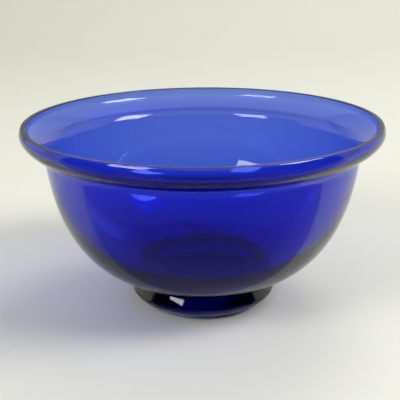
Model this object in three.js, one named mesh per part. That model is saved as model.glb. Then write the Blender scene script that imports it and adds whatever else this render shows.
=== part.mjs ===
// A footed bowl of cobalt blue glass, in millimetres, +Z up.
// The origin is on the bowl's axis, on the surface that the foot stands on.
// Both pieces are turned shapes: each outline is drawn in the plane of the axis, as radius and
// height, and is then spun round the axis.
import * as THREE from 'three';

// Body of the bowl
const baseHeight = 15; // underside of the bowl above the table, on the axis
const throatRadius = 105; // outside of the side, where the collar begins
const throatHeight = 108; // height of that place
const sideLean = THREE.MathUtils.degToRad(5.2); // lean of the side there, outwards from upright
const baseSpread = 35; // length of the outline's curve handle on the underside
const sideSpread = 98; // length of its curve handle on the side
const floorThickness = 14; // glass on the axis, where it is thickest
const wallThickness = 3.9; // glass at the throat

// Collar, which turns out from the throat and up to the rim
const collarWidth = 13.5; // from the throat out to the edge of the rim
const collarHeight = 18.1; // how far it rises above the throat
const collarRise = THREE.MathUtils.degToRad(17); // slope at which it leaves the side
const collarSpread = 3; // length of its curve handle at the throat
const rimTuck = THREE.MathUtils.degToRad(33); // lean at the rim, inwards from upright
const rimSpread = 11; // length of its curve handle at the rim
const rimThickness = 2.5; // glass at the flat ground rim
const bendRounding = 3.5; // reach of the rounding outside, each way from the throat's corner
const arris = 0.4; // reach of the broken edge on each side of the ground rim

// Foot, a rounded ring that is widest a little above the table
const footRadius = 40.3; // outside, on the table, with its roundings
const footRingWidth = 9; // width of the ring there
const footRounding = 1.5; // reach of the rounding on each of its two lower edges
const heelLean = THREE.MathUtils.degToRad(60); // lean above the table, outwards from upright
const heelSpread = 4.5; // length of the outline's curve handle there
const bellyRadius = 49.6; // outside, where the ring is widest
const bellyHeight = 9; // height of that place
const bellyDrop = 3; // length of its curve handle below
const bellyLift = 0.5; // length of its curve handle above
const neckRadius = 44.7; // outside, where the ring meets the bowl
const neckLean = THREE.MathUtils.degToRad(28.5); // lean there, inwards from upright
const neckSpread = 7.5; // length of the curve handle there
const hollowRadius = 35.5; // inside, where the ring meets the bowl
const seatGap = 0.3; // clearance between the foot and the underside of the bowl

// Facets
const turns = 72; // round the axis
const bodySteps = 16; // along the body, on each face
const collarSteps = 9; // along the collar, on each face
const bendSteps = 2; // round each bend and broken edge
const ringSteps = 4; // along each half of the foot's outside
const seatSteps = 3; // across the foot's seat

const rimRadius = throatRadius + collarWidth;
const rimHeight = throatHeight + collarHeight;

const point = (radius, height) => new THREE.Vector2(radius, height);
const direction = (angle) => point(Math.cos(angle), Math.sin(angle));

// Outer face of the glass: the body from the axis to the throat, then the collar up to the rim
const throat = point(throatRadius, throatHeight);
const upTheSide = direction(Math.PI / 2 - sideLean);
const alongTheCollar = direction(collarRise);
const outerRim = point(rimRadius, rimHeight);
const overTheRim = direction(Math.PI / 2 + rimTuck);

const body = new THREE.CubicBezierCurve(
  point(0, baseHeight),
  point(baseSpread, baseHeight),
  throat.clone().addScaledVector(upTheSide, -sideSpread),
  throat,
);
const collar = new THREE.CubicBezierCurve(
  throat,
  throat.clone().addScaledVector(alongTheCollar, collarSpread),
  outerRim.clone().addScaledVector(overTheRim, -rimSpread),
  outerRim,
);

// Glass thickness at t: it falls off from the floor up the side, then evenly along the collar
const bodyGlass = (t) => wallThickness + (floorThickness - wallThickness) * (1 - t * t) ** 2.5;
const collarGlass = (t) => THREE.MathUtils.lerp(wallThickness, rimThickness, t);

const steps = (count, from = 0, to = 1) =>
  Array.from({ length: count + 1 }, (_, index) => THREE.MathUtils.lerp(from, to, index / count));

// A curve's point at t, moved square to the curve: towards the inside of the bowl if positive
function beside(curve, t, distance) {
  const run = curve.getTangent(t);
  return curve.getPoint(t).add(point(-run.y, run.x).multiplyScalar(distance));
}

// Where the underside of the bowl, let down by the seat's clearance, has a given radius
function placeOnSeat(radius) {
  let near = 0;
  let far = 1;
  for (let halving = 0; halving < 40; halving += 1) {
    const middle = (near + far) / 2;
    if (beside(body, middle, -seatGap).x < radius) near = middle;
    else far = middle;
  }
  return near;
}

// The points of an outline that lie outside a corner's rounding
const clearOf = (corner, reach, points) =>
  points.filter((spot) => spot.distanceTo(corner) > reach);

// A rounded corner, as points from its one neighbour towards the other
function rounded(before, corner, after, reach) {
  const towards = (end) => corner.clone().add(end.clone().sub(corner).setLength(reach));
  return new THREE.QuadraticBezierCurve(towards(before), corner, towards(after))
    .getPoints(bendSteps);
}

function bowlOutline() {
  const outerBody = clearOf(throat, bendRounding, body.getPoints(bodySteps));
  const outerCollar = clearOf(throat, bendRounding, collar.getPoints(collarSteps)).slice(0, -1);
  const innerBody = steps(bodySteps).map((t) => beside(body, t, bodyGlass(t)));
  const innerCollar = steps(collarSteps).map((t) => beside(collar, t, collarGlass(t)));

  // The rim is ground level, so it is wider than the glass is thick
  const innerRim = point(rimRadius - rimThickness / Math.cos(rimTuck), rimHeight);

  // The inner face rolls round the throat at the thickness of the wall
  const innerBend = steps(bendSteps, Math.PI / 2 + collarRise, Math.PI - sideLean)
    .map((angle) => throat.clone().addScaledVector(direction(angle), wallThickness));

  return [
    ...outerBody,
    ...rounded(outerBody.at(-1), throat, outerCollar[0], bendRounding),
    ...outerCollar,
    ...rounded(outerCollar.at(-1), outerRim, innerRim, arris),
    ...rounded(outerRim, innerRim, innerCollar.at(-1), arris),
    ...innerCollar.slice(1).reverse(),
    ...innerBend,
    ...innerBody.slice(0, -1).reverse(),
  ];
}

function footOutline() {
  const seatOutside = placeOnSeat(neckRadius);
  const seatInside = placeOnSeat(hollowRadius);
  const seat = steps(seatSteps, seatOutside, seatInside).map((t) => beside(body, t, -seatGap));
  const heel = point(footRadius, 0);
  const innerHeel = point(footRadius - footRingWidth, 0);
  const belly = point(bellyRadius, bellyHeight);
  const neck = seat[0];

  const lowerHalf = new THREE.CubicBezierCurve(
    heel,
    heel.clone().addScaledVector(direction(Math.PI / 2 - heelLean), heelSpread),
    point(bellyRadius, bellyHeight - bellyDrop),
    belly,
  );
  const upperHalf = new THREE.CubicBezierCurve(
    belly,
    point(bellyRadius, bellyHeight + bellyLift),
    neck.clone().addScaledVector(direction(Math.PI / 2 + neckLean), -neckSpread),
    neck,
  );
  const outside = clearOf(heel, footRounding, lowerHalf.getPoints(ringSteps));
  const outline = [
    ...rounded(seat.at(-1), innerHeel, heel, footRounding),
    ...rounded(innerHeel, heel, outside[0], footRounding),
    ...outside,
    ...upperHalf.getPoints(ringSteps).slice(1),
    ...seat.slice(1),
  ];
  return [...outline, outline[0].clone()];
}

const cobaltGlass = () => new THREE.MeshStandardMaterial({
  color: 0x2a1ca8,
  roughness: 0.03,
  metalness: 0,
});

// Spins an outline round the upright axis
function turned(name, outline) {
  const geometry = new THREE.LatheGeometry(outline, turns);
  geometry.rotateX(Math.PI / 2);
  const piece = new THREE.Mesh(geometry, cobaltGlass());
  piece.name = name;
  return piece;
}

const footedBowl = new THREE.Group();
footedBowl.add(turned('bowl', bowlOutline()));
footedBowl.add(turned('foot', footOutline()));

export default footedBowl;
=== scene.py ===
import math

import bpy
from mathutils import Euler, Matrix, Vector
from mathutils.geometry import interpolate_bezier


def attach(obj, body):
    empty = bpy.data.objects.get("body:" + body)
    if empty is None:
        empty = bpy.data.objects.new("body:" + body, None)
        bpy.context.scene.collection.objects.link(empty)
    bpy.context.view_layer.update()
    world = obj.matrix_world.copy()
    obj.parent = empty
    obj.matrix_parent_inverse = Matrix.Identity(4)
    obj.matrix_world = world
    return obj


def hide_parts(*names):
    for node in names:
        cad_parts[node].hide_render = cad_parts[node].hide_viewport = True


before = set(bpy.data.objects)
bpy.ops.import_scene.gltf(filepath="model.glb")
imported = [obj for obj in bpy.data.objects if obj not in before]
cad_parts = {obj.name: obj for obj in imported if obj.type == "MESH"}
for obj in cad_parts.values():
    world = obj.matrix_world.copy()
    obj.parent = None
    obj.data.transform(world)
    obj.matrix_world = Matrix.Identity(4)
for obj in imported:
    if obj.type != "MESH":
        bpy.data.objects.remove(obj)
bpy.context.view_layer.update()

# Bowl
# One gather of cobalt blue soda-lime glass, blown in a mould, then opened at the throat into a
# collar that turns out and up again. The rim is ground flat and its two edges are broken.
MM = 0.001
base_height = 15 * MM  # underside above the table, on the axis
throat_radius = 105 * MM  # outside of the side, where the collar begins
throat_height = 108 * MM
side_lean = math.radians(5.2)  # lean of the side at the throat, outwards from upright
base_spread = 35 * MM  # length of the outline's curve handle on the underside
side_spread = 98 * MM  # length of its curve handle on the side
collar_width = 13.5 * MM  # from the throat out to the edge of the rim
collar_height = 18.1 * MM  # from the throat up to the rim
collar_rise = math.radians(17)  # slope at which the collar leaves the side
collar_spread = 3 * MM  # length of its curve handle at the throat
rim_tuck = math.radians(33)  # lean of the collar at the rim, inwards from upright
rim_spread = 11 * MM  # length of its curve handle at the rim
bend_rounding = 3.5 * MM  # reach of the rounding, each way from the throat's corner
floor_glass = 14 * MM  # thickness on the axis
wall_glass = 3.9 * MM  # thickness at the throat
rim_glass = 2.5 * MM  # thickness at the rim
arris = 0.4 * MM  # width of the broken edges
stub_length = 2 * MM  # of the glass above the rim that the grinding takes away
hair = 0.1 * MM  # a step too small to see
weld = 0.01 * MM  # points nearer than this are one
curve_steps = 48  # along the body, and again along the collar
turn_steps = 224  # round the axis
sharpest_bowl_bend = math.radians(40)  # anything up to this is shaded smooth

throat = Vector((throat_radius, 0, throat_height))
rim = throat + Vector((collar_width, 0, collar_height))
base = Vector((0, 0, base_height))


def slope(angle):
    """A direction in the outline's plane, at an angle above level."""
    return Vector((math.cos(angle), 0, math.sin(angle)))


up_the_side = slope(math.pi / 2 - side_lean)
over_the_rim = slope(math.pi / 2 + rim_tuck)


def pick(mesh_object, elements, wanted):
    """Selects the vertices, edges or faces that are wanted, and nothing else, in edit mode."""
    bpy.ops.object.mode_set(mode="EDIT")
    modes = {"vertices": "VERT", "edges": "EDGE", "polygons": "FACE"}
    bpy.ops.mesh.select_mode(type=modes[elements])
    bpy.ops.mesh.select_all(action="DESELECT")
    bpy.ops.object.mode_set(mode="OBJECT")
    for element in getattr(mesh_object.data, elements):
        element.select = wanted(element)
    bpy.ops.object.mode_set(mode="EDIT")


def draw_outline(name, knots, steps):
    """Draws an open outline through knots, each (place, handle before, handle after), as a mesh."""
    bpy.ops.object.select_all(action="DESELECT")
    bpy.ops.curve.primitive_bezier_curve_add(location=(0, 0, 0))
    curve = bpy.context.object
    spline = curve.data.splines[0]
    spline.bezier_points.add(len(knots) - 2)
    for knot, (place, before, after) in zip(spline.bezier_points, knots):
        knot.handle_left_type = knot.handle_right_type = "FREE"
        knot.co, knot.handle_left, knot.handle_right = place, before, after
    curve.data.resolution_u = steps
    bpy.ops.object.convert(target="MESH")
    outline = bpy.context.object
    outline.name = outline.data.name = name
    return outline


def round_corner(outline, corner, reach, segments):
    """Rounds one corner of an outline: the points near it make way, and then it is bevelled."""
    pick(outline, "vertices", lambda vertex: weld < (vertex.co - corner).length < reach)
    bpy.ops.mesh.dissolve_verts()
    pick(outline, "vertices", lambda vertex: (vertex.co - corner).length < weld)
    within_reach = 0.97 * reach  # so that the bevel stops short of the next point
    bpy.ops.mesh.bevel(offset=within_reach, segments=segments, affect="VERTICES")
    bpy.ops.object.mode_set(mode="OBJECT")


def turn(outline, steps):
    """Spins an outline round the upright axis into a surface that faces outwards."""
    bpy.ops.object.mode_set(mode="EDIT")
    bpy.ops.mesh.select_all(action="SELECT")
    bpy.ops.mesh.spin(steps=steps, angle=math.tau, center=(0, 0, 0), axis=(0, 0, 1))
    bpy.ops.mesh.select_all(action="SELECT")
    bpy.ops.mesh.remove_doubles(threshold=weld)
    bpy.ops.mesh.normals_make_consistent(inside=False)
    bpy.ops.object.mode_set(mode="OBJECT")


bowl = draw_outline("bowl_glass", [
    (base, base, base + Vector((base_spread, 0, 0))),
    (throat, throat - side_spread * up_the_side, throat + collar_spread * slope(collar_rise)),
    (rim, rim - rim_spread * over_the_rim, rim),
], curve_steps)

# The glass thins from the floor up the side and then evenly along the collar, as weights of a group
glass = bowl.vertex_groups.new(name="glass")
for vertex in bowl.data.vertices:
    along = vertex.index / curve_steps
    if along <= 1:
        thickness = wall_glass + (floor_glass - wall_glass) * (1 - along ** 2) ** 2.5
    else:
        thickness = wall_glass + (rim_glass - wall_glass) * (along - 1)
    glass.add([vertex.index], thickness / floor_glass, "REPLACE")

# The bend at the throat is rounded, and a stub stands above the rim for the cut
round_corner(bowl, throat, bend_rounding, 8)
pick(bowl, "vertices", lambda vertex: (vertex.co - rim).length < weld)
bpy.ops.mesh.extrude_region_move(TRANSFORM_OT_translate={"value": stub_length * over_the_rim})
bpy.ops.object.mode_set(mode="OBJECT")
bend = [vertex.index for vertex in bowl.data.vertices
        if (vertex.co - throat).length < bend_rounding]
glass.add(bend, wall_glass / floor_glass, "REPLACE")
stub = [vertex.index for vertex in bowl.data.vertices if vertex.co.z > rim.z + hair]
glass.add(stub, rim_glass / floor_glass, "REPLACE")

turn(bowl, turn_steps)
wall = bowl.modifiers.new("wall", "SOLIDIFY")
wall.thickness = floor_glass
wall.offset = -1
wall.vertex_group = "glass"
wall.use_even_offset = True
wall.use_rim = False
bpy.ops.object.modifier_apply(modifier="wall")

# Ground flat at the rim, and the two edges broken
bpy.ops.object.mode_set(mode="EDIT")
bpy.ops.mesh.select_all(action="SELECT")
bpy.ops.mesh.bisect(plane_co=rim, plane_no=(0, 0, 1), clear_outer=True)


def on_the_rim(edge):
    """True for an edge that lies in the plane of the cut."""
    ends = [bowl.data.vertices[index].co for index in edge.vertices]
    return all(abs(end.z - rim.z) < weld for end in ends)


pick(bowl, "edges", on_the_rim)
bpy.ops.mesh.bridge_edge_loops()


def round_the_rim(edge):
    """True for an edge that runs along the rim, and not across the glass."""
    ends = [bowl.data.vertices[index].co for index in edge.vertices]
    return on_the_rim(edge) and abs(ends[0].xy.length - ends[1].xy.length) < hair


pick(bowl, "edges", round_the_rim)
bpy.ops.mesh.bevel(offset=arris, segments=3, affect="EDGES")
pick(bowl, "polygons", lambda face: face.normal.z > 0.999 and face.center.z > rim.z - weld)
bpy.ops.mesh.inset(thickness=hair, depth=0)
bpy.ops.object.mode_set(mode="OBJECT")
bowl.vertex_groups.clear()
bpy.ops.object.shade_smooth_by_angle(angle=sharpest_bowl_bend)


def linear(hex_colour):
    """An sRGB hex colour as linear red, green, blue and alpha."""
    channels = [int(hex_colour[i:i + 2], 16) / 255 for i in (1, 3, 5)]
    return [c / 12.92 if c <= 0.04045 else ((c + 0.055) / 1.055) ** 2.4 for c in channels] + [1]


def node(material, kind, settings=None, **links):
    """Adds a node with its settings, input values and links, and returns it."""
    made = material.node_tree.nodes.new(kind)
    for name, value in (settings or {}).items():
        setattr(made, name, value)
    for name, value in links.items():
        socket = made.inputs[name.replace("_", " ")]
        if isinstance(value, bpy.types.NodeSocket):
            material.node_tree.links.new(value, socket)
        else:
            socket.default_value = value
    return made


def new_material(name):
    """A material with an empty node tree."""
    material = bpy.data.materials.new(name)
    material.use_nodes = True
    material.node_tree.nodes.clear()
    return material


# Cobalt soda-lime glass: clear at the surface and blue in its depth, so thick glass is darker. Its
# skin is very slightly wavy. The ground rim and the worn underside of the foot are matt, and the
# grey-green tint they carry is a painted reflection of the pale room in the ground rim.
cobalt_glass = new_material("cobalt_soda_lime_glass")
place = node(cobalt_glass, "ShaderNodeTexCoord").outputs["Object"]
wave_length = 30 * MM
wave = node(cobalt_glass, "ShaderNodeTexNoise", Vector=place, Scale=1 / wave_length, Detail=1.0)
skin = node(cobalt_glass, "ShaderNodeBump", Height=wave.outputs["Fac"], Strength=0.025,
            Distance=0.05 * MM)
up = node(cobalt_glass, "ShaderNodeSeparateXYZ", Vector=place).outputs["Z"]
on_rim = node(cobalt_glass, "ShaderNodeMapRange", Value=up, From_Min=rim.z - 0.08 * MM,
              From_Max=rim.z - 0.02 * MM)
on_table = node(cobalt_glass, "ShaderNodeMapRange", Value=up, From_Min=0.3 * MM, From_Max=0.1 * MM)
matt = node(cobalt_glass, "ShaderNodeMath", {"operation": "MAXIMUM"})
cobalt_glass.node_tree.links.new(on_rim.outputs[0], matt.inputs[0])
cobalt_glass.node_tree.links.new(on_table.outputs[0], matt.inputs[1])
polish = node(cobalt_glass, "ShaderNodeMapRange", Value=matt.outputs[0], To_Min=0.01, To_Max=0.35)
# The grey-green tint on the matt places is a painted reflection of the room in the ground rim
painted_reflection_tint = node(cobalt_glass, "ShaderNodeMix", {"data_type": "RGBA"}, Factor=matt.outputs[0])
painted_reflection_tint.inputs[6].default_value = (1, 1, 1, 1)
painted_reflection_tint.inputs[7].default_value = linear("#8f9896")
surface = node(cobalt_glass, "ShaderNodeBsdfPrincipled", Base_Color=painted_reflection_tint.outputs[2],
               Roughness=polish.outputs[0], IOR=1.52, Transmission_Weight=1.0,
               Normal=skin.outputs["Normal"])
depth = node(cobalt_glass, "ShaderNodeVolumeAbsorption", Color=(0.0156, 0.25, 0.91, 1),
             Density=640.0)
node(cobalt_glass, "ShaderNodeOutputMaterial", Surface=surface.outputs[0], Volume=depth.outputs[0])
bowl.data.materials.clear()
bowl.data.materials.append(cobalt_glass)
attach(bowl, "root")
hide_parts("bowl")

# Foot
# A second gather of the same glass, laid hot round the underside as a rounded ring and pressed
# flat underneath. It is fused to the bowl: its top sinks a little way into the bowl's glass.
foot_radius = 40.3 * MM  # outside, on the table
belly_radius = 49.6 * MM  # outside, where the ring is widest
belly_height = 9 * MM
neck_radius = 44.7 * MM  # outside, where it meets the bowl
ring_width = 9 * MM  # width on the table
inner_neck_radius = 35.5 * MM  # inside, where it meets the bowl
heel_rounding = 1.5 * MM  # reach of the rounding on each of its two lower edges
heel_spread = 4.5 * MM  # length of the outline's curve handle above the table
heel_slope = math.radians(30)  # slope there
belly_drop = 3 * MM  # length of the belly's curve handle below
belly_lift = 0.5 * MM  # length of its curve handle above
neck_spread = 7.5 * MM  # length of the curve handle at the neck
neck_slope = math.radians(-60)  # slope there, outwards and down
fusing_depth = 1 * MM  # how far its top is sunk into the bowl's glass
ring_steps = 10  # along each half of its outside
underside_steps = 400  # along the whole underside of the bowl, of which the seat is a part
sharpest_foot_bend = math.radians(35)  # anything up to this is shaded smooth

underside = interpolate_bezier(base, base + Vector((base_spread, 0, 0)),
                               throat - side_spread * up_the_side, throat, underside_steps)
seat = [spot + Vector((0, 0, fusing_depth)) for spot in underside
        if inner_neck_radius <= spot.x <= neck_radius]
seat = seat[::-3]  # from the outside in, every third place
heel = Vector((foot_radius, 0, 0))
inner_heel = Vector((foot_radius - ring_width, 0, 0))
belly = Vector((belly_radius, 0, belly_height))
foot = draw_outline("foot_glass", [
    (heel, heel, heel + heel_spread * slope(heel_slope)),
    (belly, belly - Vector((0, 0, belly_drop)), belly + Vector((0, 0, belly_lift))),
    (seat[0], seat[0] + neck_spread * slope(neck_slope), seat[0]),
], ring_steps)

# The seat is drawn on from the neck inwards, down to the table, and the ring is closed there
pick(foot, "vertices", lambda vertex: (vertex.co - seat[0]).length < weld)
for before, after in zip(seat, seat[1:] + [inner_heel]):
    bpy.ops.mesh.extrude_region_move(TRANSFORM_OT_translate={"value": after - before})
pick(foot, "vertices",
     lambda vertex: min((vertex.co - end).length for end in (heel, inner_heel)) < weld)
bpy.ops.mesh.edge_face_add()
bpy.ops.object.mode_set(mode="OBJECT")
round_corner(foot, heel, heel_rounding, 4)
round_corner(foot, inner_heel, heel_rounding, 4)
turn(foot, turn_steps)
bpy.ops.object.shade_smooth_by_angle(angle=sharpest_foot_bend)
foot.data.materials.clear()
foot.data.materials.append(cobalt_glass)
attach(foot, "root")
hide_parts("foot")

# Camera
# It stands a little above the rim and looks down on the bowl, as a hand-held one would. Its small
# turn and roll are the slant that the picture has.
camera_distance = 522.2 * MM  # in front of the bowl's axis
camera_height = 241.6 * MM
camera_tilt = 0.3184  # radians, down from level
camera_turn = 0.0035  # radians, to the left
camera_roll = -0.0081  # radians
bpy.ops.object.camera_add(location=(0, -camera_distance, camera_height))
camera = bpy.context.object
camera.data.sensor_width = 36
camera.data.lens = 72
aim = Euler((math.pi / 2 - camera_tilt, 0, camera_turn))
aim.rotate_axis("Z", camera_roll)
camera.rotation_euler = aim
bpy.context.scene.camera = camera

# Floor and backdrop
# One pale sheet of matt paper lies under the bowl and curves up behind it. It catches the shadow,
# and its colour is the pale ground of the picture.
sheet_width = 4
backdrop_height = 2
cove_reach = 0.8  # of the curve between the floor and the backdrop
back_edge = 1.9  # anything behind this is the back of the sheet
bpy.ops.object.select_all(action="DESELECT")
bpy.ops.mesh.primitive_plane_add(size=sheet_width, location=(0, 0, 0))
floor = bpy.context.object
floor.name = "floor"


def at_the_back(edge):
    """True for an edge at the back of the sheet."""
    return all(floor.data.vertices[index].co.y > back_edge for index in edge.vertices)


def at_the_fold(edge):
    """True for the edge at the back that lies on the table."""
    heights = [floor.data.vertices[index].co.z for index in edge.vertices]
    return at_the_back(edge) and all(abs(level) < 10 * MM for level in heights)


pick(floor, "edges", at_the_back)
bpy.ops.mesh.extrude_region_move(TRANSFORM_OT_translate={"value": (0, 0, backdrop_height)})
pick(floor, "edges", at_the_fold)
bpy.ops.mesh.bevel(offset=cove_reach, segments=24, affect="EDGES")
bpy.ops.object.mode_set(mode="OBJECT")
bpy.ops.object.shade_smooth()
paper = new_material("matt_paper")
grain = node(paper, "ShaderNodeTexNoise", Vector=node(paper, "ShaderNodeTexCoord").outputs["Object"],
             Scale=6.0, Detail=2.0)
tint = node(paper, "ShaderNodeMix", {"data_type": "RGBA"}, Factor=grain.outputs["Fac"])
tint.inputs[6].default_value = linear("#e6e6da")
tint.inputs[7].default_value = linear("#eaeade")
sheet = node(paper, "ShaderNodeBsdfPrincipled", Base_Color=tint.outputs[2], Roughness=0.9)
node(paper, "ShaderNodeOutputMaterial", Surface=sheet.outputs[0])
floor.data.materials.append(paper)

# Light
# A window to the left in front, a larger one further off to the right, and a soft light above and
# behind, which the glass doesn't mirror. The two windows make the white patches on the glass.
def window(name, azimuth, elevation, distance, width, height, glow):
    """An area light that faces the bowl.

    The azimuth turns from the front towards +X, both angles are in degrees, and glow is radiance.
    """
    across, above = math.radians(azimuth), math.radians(elevation)
    toward = Vector((math.sin(across) * math.cos(above),
                     -math.cos(across) * math.cos(above), math.sin(above)))
    middle_of_the_bowl = Vector((0, 0, 60 * MM))
    bpy.ops.object.light_add(type="AREA", location=middle_of_the_bowl + distance * toward)
    lamp = bpy.context.object
    lamp.name = name
    lamp.rotation_euler = toward.to_track_quat("Z", "Y").to_euler()
    lamp.data.shape = "RECTANGLE"
    lamp.data.size, lamp.data.size_y = width, height
    lamp.data.energy = glow * math.pi * width * height
    return lamp


window("left_window", azimuth=-46, elevation=34.5, distance=1.8, width=0.71, height=0.73, glow=8.1)
window("right_window", azimuth=70, elevation=42, distance=3.0, width=1.2, height=1.2, glow=12.5)
skylight = window("skylight", azimuth=150, elevation=60, distance=2.5, width=1.0, height=1.0,
                  glow=4.5)
skylight.visible_glossy = False

# A felt screen stands round the front, below the windows, and its foot lies on the table just
# in front of the bowl. Its colour is painted shade: a lavender painted blue shadow, like a table in
# the bowl's shade, near the bowl, darkening to near black further off. Only reflections show it,
# so the glass stays deep in colour.
screen_radius = 3.5
screen_height = 2.3
screen_start = -52 * MM  # along Y, where it begins in front of the bowl
shade_end = -360 * MM  # along Y, where its last colour is reached
bpy.ops.object.select_all(action="DESELECT")
bpy.ops.mesh.primitive_cylinder_add(vertices=96, radius=screen_radius, depth=screen_height,
                                    end_fill_type="NGON", location=(0, 0, screen_height / 2))
screen = bpy.context.object
screen.name = "painted_shade_screen"
bpy.ops.object.transform_apply(location=True)
bpy.ops.object.mode_set(mode="EDIT")
bpy.ops.mesh.select_all(action="SELECT")
bpy.ops.mesh.bisect(plane_co=(0, screen_start, 0), plane_no=(0, 1, 0), clear_outer=True)

# It is open at the top, and it lies a hair above the table
pick(screen, "polygons", lambda face: face.center.z > 0.95 * screen_height)
bpy.ops.mesh.delete(type="FACE")
bpy.ops.mesh.select_all(action="SELECT")
bpy.ops.transform.translate(value=(0, 0, 0.5 * MM))
bpy.ops.object.mode_set(mode="OBJECT")
felt = new_material("painted_blue_shade_felt")
felt_place = node(felt, "ShaderNodeTexCoord").outputs["Object"]
forward = node(felt, "ShaderNodeSeparateXYZ", Vector=felt_place).outputs["Y"]
reach = node(felt, "ShaderNodeMapRange", Value=forward, From_Min=screen_start, From_Max=shade_end)
# Painted shade: lavender blue shadow at the bowl's foot, darkening away from the bowl to near black
painted_shade_ramp = node(felt, "ShaderNodeValToRGB", Fac=reach.outputs[0])
painted_shade_ramp.color_ramp.elements[0].color = linear("#aaa6e2")
painted_shade_ramp.color_ramp.elements[1].position = 0.85
painted_shade_ramp.color_ramp.elements[1].color = linear("#202020")
for position, colour in ((0.22, "#8a7fa8"), (0.65, "#70667c")):
    painted_shade_ramp.color_ramp.elements.new(position).color = linear(colour)
nap_length = 3 * MM
nap = node(felt, "ShaderNodeTexNoise", Vector=felt_place, Scale=1 / nap_length)
wool = node(felt, "ShaderNodeBsdfPrincipled", Base_Color=painted_shade_ramp.outputs["Color"], Roughness=1.0,
            Normal=node(felt, "ShaderNodeBump", Height=nap.outputs["Fac"], Strength=0.2,
                        Distance=1 * MM).outputs["Normal"])
node(felt, "ShaderNodeOutputMaterial", Surface=wool.outputs[0])
screen.data.materials.append(felt)
screen.visible_camera = screen.visible_transmission = False
screen.visible_diffuse = screen.visible_shadow = False

# The room is dim near the horizon and bright overhead. The camera, the glass and its reflections
# see a pale room instead, but light that has left the floor sees the dim one, so that the shadow
# stays.
room = bpy.context.scene.world or bpy.data.worlds.new("room")
bpy.context.scene.world = room
room.use_nodes = True
room.node_tree.nodes.clear()
seen = node(room, "ShaderNodeLightPath")
through = node(room, "ShaderNodeMath", {"operation": "MAXIMUM"})
room.node_tree.links.new(seen.outputs["Is Camera Ray"], through.inputs[0])
room.node_tree.links.new(seen.outputs["Is Transmission Ray"], through.inputs[1])
mirrored = node(room, "ShaderNodeMath", {"operation": "MAXIMUM"})
room.node_tree.links.new(through.outputs[0], mirrored.inputs[0])
room.node_tree.links.new(seen.outputs["Is Glossy Ray"], mirrored.inputs[1])
direct = node(room, "ShaderNodeMath", {"operation": "LESS_THAN"})
room.node_tree.links.new(seen.outputs["Diffuse Depth"], direct.inputs[0])
direct.inputs[1].default_value = 0.5
shown = node(room, "ShaderNodeMath", {"operation": "MULTIPLY"})
room.node_tree.links.new(mirrored.outputs[0], shown.inputs[0])
room.node_tree.links.new(direct.outputs[0], shown.inputs[1])
sky = node(room, "ShaderNodeTexCoord").outputs["Generated"]
height = node(room, "ShaderNodeSeparateXYZ", Vector=sky).outputs["Z"]
ceiling = node(room, "ShaderNodeMapRange", {"interpolation_type": "SMOOTHSTEP"}, Value=height,
               From_Min=0.45, From_Max=0.75, To_Min=0.12, To_Max=0.37)
dim = node(room, "ShaderNodeBackground", Color=(1, 1, 1, 1), Strength=ceiling.outputs[0])
pale = node(room, "ShaderNodeBackground", Color=linear("#e5e6de"), Strength=1.0)
both = node(room, "ShaderNodeMixShader")
room.node_tree.links.new(shown.outputs[0], both.inputs[0])
room.node_tree.links.new(dim.outputs[0], both.inputs[1])
room.node_tree.links.new(pale.outputs[0], both.inputs[2])
node(room, "ShaderNodeOutputWorld", Surface=both.outputs[0])

bpy.context.scene.view_settings.view_transform = "Standard"
